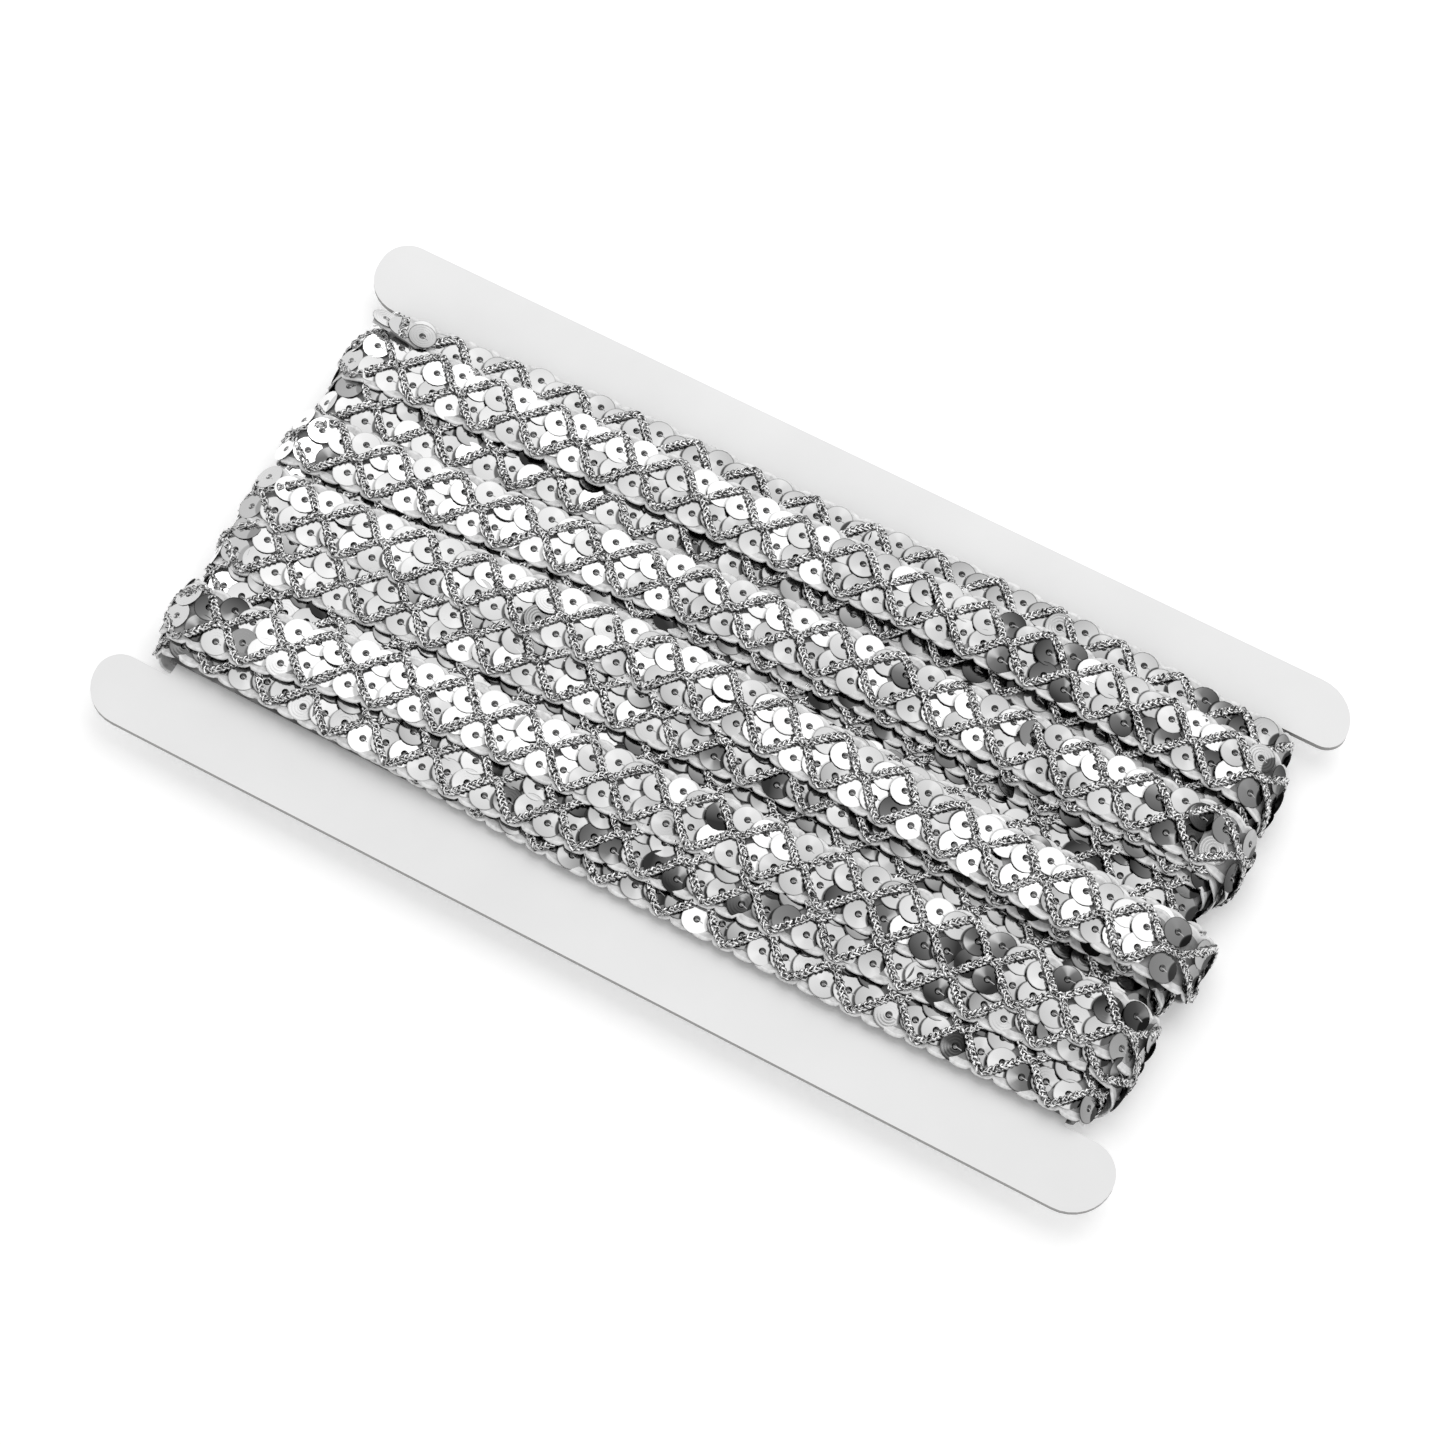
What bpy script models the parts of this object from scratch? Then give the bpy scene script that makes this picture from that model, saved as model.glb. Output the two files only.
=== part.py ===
"""Sequin trim wound flat on a white display card.

The card is an H: two long bars joined by a wide waist. The trim is a braid 15 mm wide, wound
round the waist so that its runs lie along the bars and turn over the waist's two ends.
+X runs along the bars, +Y from the near bar to the far bar, +Z up. Metres.
The origin is under the middle of the card, on the surface that the wound trim rests on.
"""

import math

import bmesh
import bpy

MM = 0.001

# The card
CARD_LENGTH = 223.0 * MM
CARD_DEPTH = 125.0 * MM
CARD_THICKNESS = 1.3 * MM
WAIST_LENGTH = 196.0 * MM
NOTCH_RADIUS = 0.7 * MM
ARC_STEPS = 8

# How round each end of a bar is, on its outer and on its inner corner, and how far its inner edge
# lies from the card's middle line. The notches are cut a little askew, so the four differ.
BAR_ENDS = {
    "far_right": {"outer": 9.3 * MM, "inner": 4.2 * MM, "inner_y": 48.7 * MM},
    "far_left": {"outer": 6.0 * MM, "inner": 9.0 * MM, "inner_y": 46.2 * MM},
    "near_left": {"outer": 9.0 * MM, "inner": 5.0 * MM, "inner_y": 48.4 * MM},
    "near_right": {"outer": 8.5 * MM, "inner": 6.8 * MM, "inner_y": 47.0 * MM},
}

# The wound trim
CLEARANCE = 0.3 * MM
SLOT_EDGE_Y = 47.1 * MM
UNDER_DEPTH = 6.2 * MM
BRAID_THICKNESS = 1.3 * MM
EDGE_FALL = 0.45 * MM
EDGE_ROUND = 2.2 * MM
LIP_WIDTH = 0.3 * MM
RUN_STATIONS = 20
TURN_STATIONS = 9

# Each run of trim that shows on top, from the far bar to the near one, at five places from the
# left turn to the right turn: where its far edge lies, and how high it stands over the card.
# A run reaches to the next one's far edge, or under it. The first and the last lie a little over
# the card's bars. The sixth is slack, and bulges out at the right turn. All in millimetres.
PLACES = (-1.0, -0.5, 0.0, 0.5, 1.0)
TOP_RUNS = (
    {"name": "first", "far_edge": (44.4, 47.6, 48.4, 49.3, 46.6), "height": (5.6, 5.4, 5.4, 5.4, 5.6)},
    {"name": "second", "far_edge": (37.6, 39.4, 41.3, 41.1, 40.6), "height": (6.8, 7.0, 7.0, 7.0, 7.0)},
    {"name": "third", "far_edge": (23.4, 26.8, 27.8, 28.7, 24.8), "height": (5.6, 5.2, 4.0, 3.4, 4.4)},
    {"name": "fourth", "far_edge": (14.1, 19.3, 23.5, 24.9, 24.0), "height": (6.8, 6.9, 7.0, 7.0, 7.0)},
    {"name": "fifth", "far_edge": (0.4, 5.2, 9.2, 10.9, 11.4), "height": (4.8, 4.6, 4.6, 4.8, 5.2)},
    {"name": "sixth", "far_edge": (-0.6, 1.9, 3.1, 1.6, -0.2), "height": (6.8, 6.9, 7.0, 7.6, 9.2)},
    {"name": "seventh", "far_edge": (-13.4, -10.3, -9.9, -13.3, -15.9), "height": (5.7, 5.7, 5.5, 5.0, 5.0)},
    {"name": "eighth", "far_edge": (-24.4, -20.0, -17.5, -15.0, -17.4), "height": (4.9, 3.8, 3.4, 3.4, 4.4)},
    {"name": "ninth", "far_edge": (-30.8, -23.6, -21.8, -19.8, -20.1), "height": (6.7, 6.8, 6.8, 6.8, 6.8)},
    {"name": "tenth", "far_edge": (-43.6, -37.9, -34.9, -32.7, -33.2), "height": (4.8, 5.0, 5.4, 5.6, 5.8)},
    {"name": "last", "far_edge": (-46.0, -46.4, -44.4, -41.2, -38.0), "height": (3.2, 3.2, 3.4, 3.8, 4.2)},
)
NEAR_EDGE = (-46.6, -47.6, -48.2, -47.9, -46.6)

# The same runs on the underside, where they lie side by side on the surface. Four of them are
# hidden there, and show as the narrow furrows between their neighbours.
UNDER_RUNS = {
    "first": {"far_edge": 46.8, "lift": 0.0},
    "second": {"far_edge": 33.6, "lift": 0.0},
    "third": {"far_edge": 20.4, "lift": 1.4},
    "fourth": {"far_edge": 19.4, "lift": 0.0},
    "fifth": {"far_edge": 6.2, "lift": 1.4},
    "sixth": {"far_edge": 5.3, "lift": 0.0},
    "seventh": {"far_edge": -8.0, "lift": 0.0},
    "eighth": {"far_edge": -20.6, "lift": 1.4},
    "ninth": {"far_edge": -21.5, "lift": 0.0},
    "tenth": {"far_edge": -34.4, "lift": 0.0},
    "last": {"far_edge": -46.0, "lift": 1.4},
}
UNDER_NEAR_EDGE = -46.8

# The trim's cut end, which lies loose on the first run and reaches out over the left turn
CUT_END_LENGTH = 14.0 * MM
CUT_END_WIDTH = 6.4 * MM
CUT_END_THICKNESS = 1.2 * MM
CUT_END_REACH = 103.8 * MM
CUT_END_MIDDLE = 41.3 * MM
CUT_END_CORNER = 2.0 * MM
CUT_END_RISE_DEG = 4.0
CUT_END_GAP = 0.3 * MM

# Worked out from the sizes above
BAR_END_X = CARD_LENGTH / 2
BAR_OUTER_Y = CARD_DEPTH / 2
WAIST_END_X = WAIST_LENGTH / 2
HALF_CARD = CARD_THICKNESS / 2
CARD_MIDDLE_Z = UNDER_DEPTH + HALF_CARD

# Colour, roughness and metallic value of each piece
FINISHES = {
    "white_board": {"colour": (0.86, 0.86, 0.87), "roughness": 0.55, "metallic": 0.0},
    "silver_sequin": {"colour": (0.80, 0.80, 0.81), "roughness": 0.25, "metallic": 0.9},
}


def clear_scene():
    for obj in list(bpy.data.objects):
        bpy.data.objects.remove(obj, do_unlink=True)


def new_collection(name):
    collection = bpy.data.collections.new(name)
    bpy.context.scene.collection.children.link(collection)
    return collection


def make_material(name):
    finish = FINISHES[name]
    material = bpy.data.materials.new(name)
    material.use_nodes = True
    shader = material.node_tree.nodes["Principled BSDF"]
    shader.inputs["Base Color"].default_value = (*finish["colour"], 1.0)
    shader.inputs["Roughness"].default_value = finish["roughness"]
    shader.inputs["Metallic"].default_value = finish["metallic"]
    return material


def add_object(name, data, collection, material):
    obj = bpy.data.objects.new(name, data)
    obj.data.materials.append(material)
    collection.objects.link(obj)
    return obj


def arc(centre_x, centre_y, radius, start_deg, end_deg):
    """Points of an arc, from the start angle to the end angle."""
    points = []
    for step in range(ARC_STEPS + 1):
        angle = math.radians(start_deg + (end_deg - start_deg) * step / ARC_STEPS)
        points.append((centre_x + radius * math.cos(angle), centre_y + radius * math.sin(angle)))
    return points


def quarter_outline(ends):
    """The far right quarter of the card's edge, from the notch round the bar's end to its outer edge."""
    inner, outer, inner_y = ends["inner"], ends["outer"], ends["inner_y"]
    notch = arc(WAIST_END_X + NOTCH_RADIUS, inner_y - NOTCH_RADIUS, NOTCH_RADIUS, 180, 90)
    inner_corner = arc(BAR_END_X - inner, inner_y + inner, inner, -90, 0)
    outer_corner = arc(BAR_END_X - outer, BAR_OUTER_Y - outer, outer, 0, 90)
    return notch + inner_corner + outer_corner


def card_outline():
    """The whole edge, anticlockwise from the right notch: each quarter is mirrored into its place."""
    points = []
    for name, side_x, side_y in (
        ("far_right", 1, 1),
        ("far_left", -1, 1),
        ("near_left", -1, -1),
        ("near_right", 1, -1),
    ):
        quarter = [(x * side_x, y * side_y) for x, y in quarter_outline(BAR_ENDS[name])]
        if side_x != side_y:
            quarter.reverse()
        points += quarter
    return points


def add_flat_piece(name, outline, thickness, collection, material):
    """A flat piece: its outline is filled, and extruded both ways by half its thickness."""
    curve = bpy.data.curves.new(name, "CURVE")
    curve.dimensions = "2D"
    curve.fill_mode = "BOTH"
    curve.extrude = thickness / 2
    spline = curve.splines.new("POLY")
    spline.points.add(len(outline) - 1)
    for point, (x, y) in zip(spline.points, outline):
        point.co = (x, y, 0.0, 1.0)
    spline.use_cyclic_u = True
    return add_object(name, curve, collection, material)


def build_card(collection, material):
    card = add_flat_piece("display_card", card_outline(), CARD_THICKNESS, collection, material)
    card.location = (0.0, 0.0, CARD_MIDDLE_Z)
    return card


def smooth_between(values, place):
    """A smooth curve through the five values at PLACES."""
    spot = (place - PLACES[0]) / (PLACES[1] - PLACES[0])
    index = min(int(spot), len(PLACES) - 2)
    part = spot - index
    before = values[max(index - 1, 0)]
    low, high = values[index], values[index + 1]
    after = values[min(index + 2, len(values) - 1)]
    slope_low = (high - before) / 2
    slope_high = (after - low) / 2
    square, cube = part**2, part**3
    return (
        (2 * cube - 3 * square + 1) * low
        + (cube - 2 * square + part) * slope_low
        + (3 * square - 2 * cube) * high
        + (cube - square) * slope_high
    )


def ease(part):
    return part * part * (3 - 2 * part)


def run_sizes(place, under):
    """Each run's far edge and its depth over the card in metres, and the near edge of the last run.

    place is -1 at the left turn and 1 at the right one. under is 0 on top and 1 underneath.
    """
    edges = []
    depths = []
    for run in TOP_RUNS:
        below = UNDER_RUNS[run["name"]]
        edge_top = smooth_between(run["far_edge"], place)
        depth_top = smooth_between(run["height"], place)
        depth_under = UNDER_DEPTH / MM - below["lift"]
        edges.append((edge_top + (below["far_edge"] - edge_top) * under) * MM)
        depths.append((depth_top + (depth_under - depth_top) * under) * MM)
    near_top = smooth_between(NEAR_EDGE, place)
    edges.append((near_top + (UNDER_NEAR_EDGE - near_top) * under) * MM)
    return edges, depths


def section(place, under):
    """One section across all the runs, as (y, depth over the card), from the far edge to the near one.

    Each run is flat on top with soft edges, and steps down to whichever neighbour lies lower.
    """
    edges, depths = run_sizes(place, under)
    points = []
    for index, depth in enumerate(depths):
        far, near = edges[index], edges[index + 1]
        width = far - near
        soft = min(EDGE_ROUND, width * 0.3)
        lip = min(LIP_WIDTH, width * 0.12)
        before = depths[index - 1] if index else 0.0
        after = depths[index + 1] if index + 1 < len(depths) else 0.0
        foot_far = max(min(before, depth - EDGE_FALL), depth - BRAID_THICKNESS)
        foot_near = max(min(after, depth - EDGE_FALL), depth - BRAID_THICKNESS)
        points.append((far - lip * 0.1, foot_far))
        points.append((far - lip, depth - EDGE_FALL))
        points.append((far - soft, depth))
        points.append(((far + near) / 2, depth))
        points.append((near + soft, depth))
        points.append((near + lip, depth - EDGE_FALL))
        points.append((near + lip * 0.1, foot_near))
    return points


def stations():
    """Places round the waist: along the top, over the right end, back underneath, over the left end."""
    found = []
    for step in range(RUN_STATIONS + 1):
        found.append({"place": -1 + 2 * step / RUN_STATIONS, "under": 0.0, "turn": None})
    for step in range(1, TURN_STATIONS):
        part = step / TURN_STATIONS
        found.append({"place": 1.0, "under": ease(part) * 0.5, "turn": 90 - 180 * part})
    for step in range(RUN_STATIONS + 1):
        part = step / RUN_STATIONS
        settle = ease(min(1.0, 5 * min(part, 1 - part)))
        found.append({"place": 1 - 2 * part, "under": 0.5 + 0.5 * settle, "turn": "below"})
    for step in range(1, TURN_STATIONS):
        part = step / TURN_STATIONS
        found.append({"place": -1.0, "under": 0.5 - ease(part) * 0.5, "turn": -90 - 180 * part})
    return found


def place_point(station, depth):
    """(x, z) at a depth over the card: above it, below it, or round one end of its waist."""
    turn = station["turn"]
    x = station["place"] * WAIST_END_X
    if turn is None:
        return x, CARD_MIDDLE_Z + HALF_CARD + depth
    if turn == "below":
        return x, CARD_MIDDLE_Z - HALF_CARD - min(depth, UNDER_DEPTH)
    angle = math.radians(turn)
    reach = depth + HALF_CARD
    return x + reach * math.cos(angle), max(0.0, CARD_MIDDLE_Z + reach * math.sin(angle))


def inner_point(station):
    """(x, z) on the slot's wall, a little clear of the card's waist."""
    turn = station["turn"]
    half_slot = HALF_CARD + CLEARANCE
    if turn is None:
        return station["place"] * (WAIST_END_X + CLEARANCE), CARD_MIDDLE_Z + half_slot
    if turn == "below":
        return station["place"] * (WAIST_END_X + CLEARANCE), CARD_MIDDLE_Z - half_slot
    rise = math.sin(math.radians(turn))
    return station["place"] * (WAIST_END_X + CLEARANCE), CARD_MIDDLE_Z + half_slot * rise


def build_wound_trim(collection, material):
    """All the turns of trim as one solid: a ring of sections round the card's waist."""
    mesh = bpy.data.meshes.new("wound_trim")
    work = bmesh.new()
    rings = []
    for station in stations():
        ring = []
        across = section(station["place"], station["under"])
        for y, depth in across:
            x, z = place_point(station, depth)
            ring.append(work.verts.new((x, y, z)))
        x, z = inner_point(station)
        for y in (max(across[-1][0], -SLOT_EDGE_Y), min(across[0][0], SLOT_EDGE_Y)):
            ring.append(work.verts.new((x, y, z)))
        rings.append(ring)
    for ring, following in zip(rings, rings[1:] + rings[:1]):
        for index in range(len(ring)):
            after = (index + 1) % len(ring)
            work.faces.new((ring[index], ring[after], following[after], following[index]))
    bmesh.ops.triangulate(work, faces=work.faces[:])
    bmesh.ops.recalc_face_normals(work, faces=work.faces[:])
    work.to_mesh(mesh)
    work.free()
    return add_object("wound_trim", mesh, collection, material)


def build_cut_end(collection, material):
    """A short flat tongue, whose free end lifts a little. It starts at its fixed end, at x = 0."""
    corner = CUT_END_CORNER
    side = CUT_END_WIDTH / 2 - corner
    free_end = corner - CUT_END_LENGTH
    outline = [(0.0, -CUT_END_WIDTH / 2), (0.0, CUT_END_WIDTH / 2)]
    outline += arc(free_end, side, corner, 90, 180)
    outline += arc(free_end, -side, corner, 180, 270)
    tongue = add_flat_piece("trim_cut_end", outline, CUT_END_THICKNESS, collection, material)
    base = CARD_MIDDLE_Z + HALF_CARD + TOP_RUNS[0]["height"][0] * MM + CUT_END_GAP
    tongue.location = (CUT_END_LENGTH - CUT_END_REACH, CUT_END_MIDDLE, base + CUT_END_THICKNESS / 2)
    tongue.rotation_euler.y = math.radians(CUT_END_RISE_DEG)
    return tongue


def main():
    clear_scene()
    parts = new_collection("sequin_trim_on_card")
    board = make_material("white_board")
    sequin = make_material("silver_sequin")
    build_card(parts, board)
    build_wound_trim(parts, sequin)
    build_cut_end(parts, sequin)


main()
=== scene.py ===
"""Looks of a silver sequin braid, wound in layered runs round a white display card.

Every run of braid is a loop round the card's waist: along the top, over the right end, back
underneath and over the left end. Each is a ground tape with scalloped edges, two rows of
sequins sewn on like shingles, and two metal yarns that cross it in diamonds.
Tables and sizes are in millimetres, and meshes are in metres.
"""

import math

import bpy
import numpy as np
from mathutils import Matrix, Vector


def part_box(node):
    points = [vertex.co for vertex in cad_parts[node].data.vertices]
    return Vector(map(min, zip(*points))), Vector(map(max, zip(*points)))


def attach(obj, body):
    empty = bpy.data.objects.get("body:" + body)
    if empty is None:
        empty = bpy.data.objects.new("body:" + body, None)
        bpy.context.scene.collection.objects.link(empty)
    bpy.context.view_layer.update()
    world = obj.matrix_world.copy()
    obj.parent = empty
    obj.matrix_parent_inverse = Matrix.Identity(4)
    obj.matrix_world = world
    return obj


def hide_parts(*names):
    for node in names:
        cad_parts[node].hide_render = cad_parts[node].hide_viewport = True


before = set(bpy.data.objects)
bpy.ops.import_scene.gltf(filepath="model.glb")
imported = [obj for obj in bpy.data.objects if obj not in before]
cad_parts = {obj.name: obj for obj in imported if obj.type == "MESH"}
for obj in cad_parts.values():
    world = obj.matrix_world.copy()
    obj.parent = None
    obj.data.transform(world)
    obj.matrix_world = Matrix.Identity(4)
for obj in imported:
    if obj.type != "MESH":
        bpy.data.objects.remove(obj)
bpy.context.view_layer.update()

MM = 0.001
random = np.random.default_rng(20)

# The card, read from the frame
card_low, card_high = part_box("display_card")
CARD_MIDDLE = (card_low.z + card_high.z) / 2 / MM
HALF_CARD = (card_high.z - card_low.z) / 2 / MM
WAIST_HALF = 98.0
WAIST_LENGTH = 2 * WAIST_HALF

# The braid
BRAID_DEPTH = 1.6
DIAMOND_LENGTH = 13.6
SEQUINS_IN_DIAMOND = 3
SEQUIN_RADIUS = 3.0
SEQUIN_SIDES = 18
HOLE_RIM = 0.72
HOLE_RADIUS = 0.42
HOLE_DEPTH = 0.24
SEQUIN_THICKNESS = 0.1
SHINGLE_DEG = 7.5
CROWN_DEG = 3.5
TAPE_HALF = 6.0
SCALLOP = {"near": 0.85, "far": 1.3}
TAPE_STEPS = 8
YARN_HALF = 6.1
YARN_ROUNDING = 0.4
YARN_DWELL = 0.13
PLAIT_LENGTH = 3.3
STRAND_RADIUS = 0.32
STRAND_SIDE = 0.66
STRAND_RISE = 0.2
STRAND_SIDES = 4
STITCH_RADIUS = 0.09
STITCH_LENGTH = 1.35
SURFACE_CLEARANCE = 0.02
# The inner turns: their height in the open furrows, and the most that they reach under a run
INNER_DEPTH = 1.0
BAND_HEIGHT = 5.0

# The two rows of sequins: the side of the middle line, how far the first sequin of a diamond lies
# after the yarns' crossing in pitches, how far the three sequins of a diamond lie from the middle
# line, as the crossing pushes the first outwards, and how high the row is sewn over the tape
ROWS = (
    {"side": 1, "shift": -0.08, "offsets": (4.0, 3.0, 2.3), "lift": 0.78},
    {"side": -1, "shift": 0.02, "offsets": (3.6, 2.25, 2.4), "lift": 0.5},
)
ROW_DRIFT = 0.14

# Each run of braid at five places from the left turn to the right one: its middle line, and the
# height of its upper side over the card. Then the same on the underside, where it is level.
# The phase is how far its first diamond is moved along. The slack is how far the run stands off
# the card's left and right ends, more than its height gives.
PLACES = (-1.0, -0.5, 0.0, 0.5, 1.0)
RUNS = (
    {"name": "first", "middle": (37.6, 40.7, 41.5, 42.4, 39.8), "height": (5.6, 5.4, 5.4, 5.4, 5.6),
     "under_middle": 39.9, "under_height": 6.1, "phase": 5.2, "slack": (0.0, -0.4)},
    {"name": "second", "middle": (32.0, 34.2, 35.4, 35.7, 33.7), "height": (6.8, 7.0, 7.0, 7.0, 7.0),
     "under_middle": 26.9, "under_height": 6.1, "phase": 4.8, "slack": (0.9, 0.9)},
    {"name": "third", "middle": (21.6, 26.8, 31.1, 32.7, 31.2), "height": (5.4, 5.2, 4.6, 4.2, 4.6),
     "under_middle": 20.0, "under_height": 4.4, "phase": 5.0, "slack": (1.0, 1.6)},
    {"name": "fourth", "middle": (8.6, 12.3, 16.4, 17.9, 17.7), "height": (6.8, 6.9, 7.0, 7.0, 7.0),
     "under_middle": 13.4, "under_height": 6.1, "phase": 8.5, "slack": (1.1, 1.3)},
    {"name": "fifth", "middle": (4.0, 9.6, 13.9, 16.0, 16.6), "height": (5.0, 5.2, 5.4, 5.5, 5.7),
     "under_middle": 6.4, "under_height": 4.4, "phase": 1.0, "slack": (1.0, 1.2)},
    {"name": "fifth_lower", "middle": (2.0, 7.4, 11.6, 13.6, 14.4), "height": (3.6, 3.8, 4.0, 4.1, 4.4),
     "under_middle": 5.4, "under_height": 3.0, "phase": 7.0, "slack": (1.0, 1.0)},
    {"name": "sixth_lowest", "middle": (-2.0, 1.0, 4.6, 6.0, 5.4), "height": (2.6, 2.6, 2.8, 2.8, 3.0),
     "under_middle": 2.0, "under_height": 3.0, "phase": 3.0, "slack": (1.0, 1.0)},
    {"name": "sixth_lower", "middle": (-6.6, -3.6, -2.8, -3.4, -6.8), "height": (5.2, 5.3, 5.4, 5.9, 7.0),
     "under_middle": -1.0, "under_height": 4.4, "phase": 6.0, "slack": (0.8, 1.0)},
    {"name": "sixth", "middle": (-6.6, -2.9, -1.9, -5.6, -8.9), "height": (6.8, 6.9, 7.0, 7.6, 9.2),
     "under_middle": -0.2, "under_height": 6.1, "phase": 9.8, "slack": (0.9, 2.0)},
    {"name": "seventh", "middle": (-17.4, -13.0, -10.5, -7.9, -9.2), "height": (5.7, 5.7, 5.5, 5.2, 5.8),
     "under_middle": -13.6, "under_height": 6.1, "phase": 8.0, "slack": (1.2, 1.0)},
    {"name": "eighth", "middle": (-25.6, -21.0, -19.0, -17.6, -18.0), "height": (4.6, 4.0, 3.6, 3.4, 3.9),
     "under_middle": -20.4, "under_height": 4.4, "phase": 10.0, "slack": (1.0, 1.2)},
    {"name": "ninth", "middle": (-36.6, -29.8, -27.6, -26.3, -26.7), "height": (6.7, 6.8, 6.8, 6.8, 6.8),
     "under_middle": -27.0, "under_height": 6.1, "phase": 5.3, "slack": (1.0, 1.3)},
    {"name": "tenth", "middle": (-39.2, -39.4, -37.0, -33.6, -30.4), "height": (4.8, 5.0, 5.4, 5.6, 5.8),
     "under_middle": -39.9, "under_height": 6.1, "phase": 0.5, "slack": (0.5, 1.5)},
    {"name": "last", "middle": (-38.0, -39.0, -40.8, -40.9, -39.6), "height": (3.3, 3.4, 3.6, 3.8, 4.2),
     "under_middle": -34.0, "under_height": 4.4, "phase": 6.5, "slack": (0.5, 0.0)},
)

# How the light falls on a stretch of a run: the share of its sequins that flash white, and the
# share that have turned to the dark. The others are grey. Elsewhere the usual shares hold.
SHINE = (
    {"run": "first", "from": -98, "to": 50, "white": 0.0, "dark": 0.02},
    {"run": "first", "from": 50, "to": 98, "white": 0.05, "dark": 0.3},
    {"run": "second", "from": -98, "to": -86, "white": 0.1, "dark": 0.02},
    {"run": "second", "from": -86, "to": 25, "white": 0.6, "dark": 0.02},
    {"run": "second", "from": 25, "to": 84, "white": 0.05, "dark": 0.42},
    {"run": "second", "from": 84, "to": 98, "white": 0.5, "dark": 0.2},
    {"run": "third", "from": -98, "to": 98, "white": 0.3, "dark": 0.1},
    {"run": "fourth", "from": -98, "to": -86, "white": 0.1, "dark": 0.1},
    {"run": "fourth", "from": -86, "to": -18, "white": 0.9, "dark": 0.0},
    {"run": "fourth", "from": -18, "to": 84, "white": 0.5, "dark": 0.03},
    {"run": "fourth", "from": 84, "to": 98, "white": 0.1, "dark": 0.45},
    {"run": "sixth", "from": -98, "to": 5, "white": 0.55, "dark": 0.0},
    {"run": "sixth", "from": 5, "to": 98, "white": 0.75, "dark": 0.03},
    {"run": "seventh", "from": -98, "to": -50, "white": 0.3, "dark": 0.0},
    {"run": "seventh", "from": -50, "to": 20, "white": 0.6, "dark": 0.02},
    {"run": "ninth", "from": -98, "to": -86, "white": 0.1, "dark": 0.3},
    {"run": "ninth", "from": -86, "to": -15, "white": 0.9, "dark": 0.0},
    {"run": "ninth", "from": -15, "to": 22, "white": 0.45, "dark": 0.03},
    {"run": "ninth", "from": 22, "to": 98, "white": 0.15, "dark": 0.32},
    {"run": "tenth", "from": -98, "to": -32, "white": 0.6, "dark": 0.03},
    {"run": "tenth", "from": -32, "to": 42, "white": 0.35, "dark": 0.5},
    {"run": "tenth", "from": 42, "to": 98, "white": 0.5, "dark": 0.05},
    {"run": "last", "from": -98, "to": 98, "white": 0.4, "dark": 0.12},
)
USUAL_WHITE_SHARE = 0.2
USUAL_DARK_SHARE = 0.08
TURN_DARK_SHARE = 0.35
LEFT_TURN_DARK_SHARE = 0.03
# The near row leans away from the light: the share of its white sequins that stay white
NEAR_WHITE_SHARE = 0.4
# The tones of white, grey and dark sequins, and of the first run's grey ones, beside the card
WHITE_TONES = (0.75, 0.81)
GREY_TONES = {"far": (0.54, 0.65), "near": (0.51, 0.62)}
DARK_TONES = (0.1, 0.31)
FIRST_RUN_TONES = (0.5, 0.57)
# Painted light: the sequins further to the left are painted lighter, by this share at the left end
LEFT_LIGHTER = 0.22
# Over the left end the sequins face away from the softbox, and catch the pale surround: their tones
# are painted brighter by this gain, as painted light
LEFT_TURN_GAIN = 1.4

# In the furrow at the foot of a higher run: how far its shade reaches, and the light left there
SHADE_REACH = 3.0
SHADE_DEPTH = 0.6

# How far the next sequin's shade is centred from that sequin, along the run and across it
NEXT_SHADE = np.array([-0.12, -0.18])

# The tone of each part of a sequin, as a share of its face's. The dish, the duller back and the
# rim's wall are painted darker, as painted shade in the hole, under the sequin and on its edge
PART_TONES = {"face": 1.0, "dish": 0.55, "back": 0.45, "rim": 0.3}


def srgb(code):
    """A hex colour as linear red, green, blue and alpha."""
    values = [int(code[i : i + 2], 16) / 255 for i in (1, 3, 5)]
    linear = [v / 12.92 if v <= 0.04045 else ((v + 0.055) / 1.055) ** 2.4 for v in values]
    return (*linear, 1.0)


def add_node(tree, kind, settings=None, inputs=None):
    """A node with its settings. An input is a value, or another node's output socket to link."""
    node = tree.nodes.new(kind)
    for name, value in (settings or {}).items():
        setattr(node, name, value)
    for name, value in (inputs or {}).items():
        if isinstance(value, bpy.types.NodeSocket):
            tree.links.new(value, node.inputs[name])
        else:
            node.inputs[name].default_value = value
    return node


def new_material(name):
    material = bpy.data.materials.new(name)
    material.use_nodes = True
    return material, material.node_tree, material.node_tree.nodes["Principled BSDF"]


def ramp(tree, factor, stops):
    node = add_node(tree, "ShaderNodeValToRGB", None, {"Fac": factor})
    elements = node.color_ramp.elements
    while len(elements) < len(stops):
        elements.new(0.5)
    for element, (position, colour) in zip(elements, stops):
        element.position = position
        element.color = srgb(colour)
    return node.outputs["Color"]


# Materials


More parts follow.
